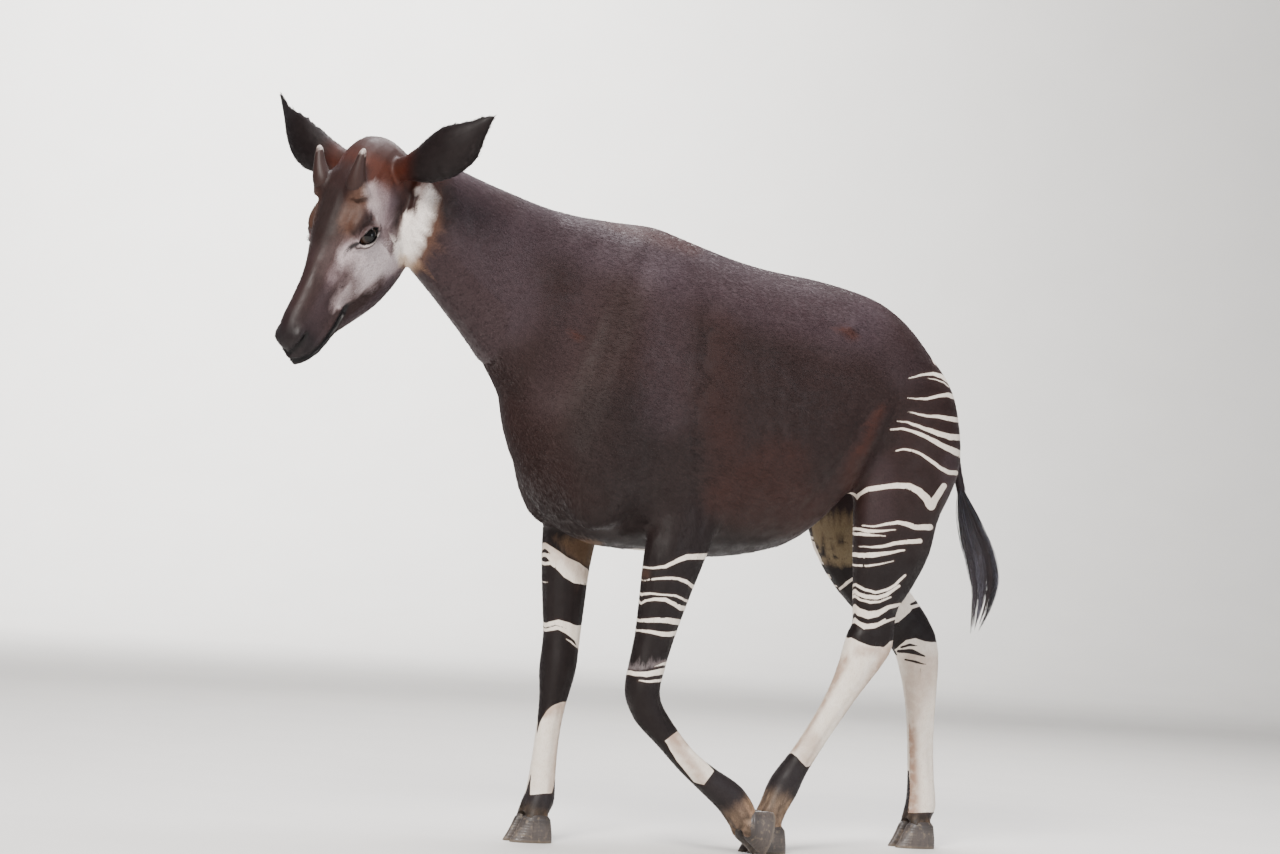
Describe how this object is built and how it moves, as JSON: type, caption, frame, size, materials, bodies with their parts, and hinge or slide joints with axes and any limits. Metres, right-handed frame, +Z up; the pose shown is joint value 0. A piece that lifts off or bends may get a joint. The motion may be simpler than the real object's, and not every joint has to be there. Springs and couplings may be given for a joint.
{
  "type": "okapi",
  "caption": "Still, life-size okapi in a walking pose, with striped legs, cupped ears, two short ossicones, cloven hooves and a tufted tail, standing on its own feet",
  "frame": {"origin": "on the floor, under the middle of the whole body", "axes": "+Z up; the head points to -X and the tail to +X; the animal's left side is -Y"},
  "size_m": [2.1914, 0.674, 1.7964],
  "materials": {
    "coat": "short dense dark chocolate coat with a velvet sheen",
    "face": "short silver-grey and brown face coat",
    "striped_coat": "short coat with cream stripes on dark brown",
    "pale_coat": "short cream-white coat",
    "tail_hair": "long blue-black hair",
    "horn": "skin-covered ossicone with a bare polished tip",
    "hoof": "dull grey hoof horn with fine growth rings",
    "eye": "wet dark brown eye"
  },
  "bodies": {
    "root": {"torso": "coat", "neck": "coat", "head": "face", "ear_left": "coat", "ear_right": "coat", "ossicone_left": "horn", "ossicone_right": "horn", "eye_left": "eye", "eye_right": "eye", "tail": "coat", "tail_tuft": "tail_hair", "right_fore_forearm": "striped_coat", "right_fore_cannon": "pale_coat", "right_fore_pastern": "coat", "right_fore_hoof_left": "hoof", "right_fore_hoof_right": "hoof", "left_fore_forearm": "striped_coat", "left_fore_cannon": "pale_coat", "left_fore_pastern": "coat", "left_fore_hoof_left": "hoof", "left_fore_hoof_right": "hoof", "left_hind_thigh": "striped_coat", "left_hind_gaskin": "striped_coat", "left_hind_cannon": "pale_coat", "left_hind_pastern": "coat", "left_hind_hoof_left": "hoof", "left_hind_hoof_right": "hoof", "right_hind_thigh": "striped_coat", "right_hind_gaskin": "striped_coat", "right_hind_cannon": "pale_coat", "right_hind_pastern": "coat", "right_hind_hoof_left": "hoof", "right_hind_hoof_right": "hoof"}
  },
  "joints": []
}
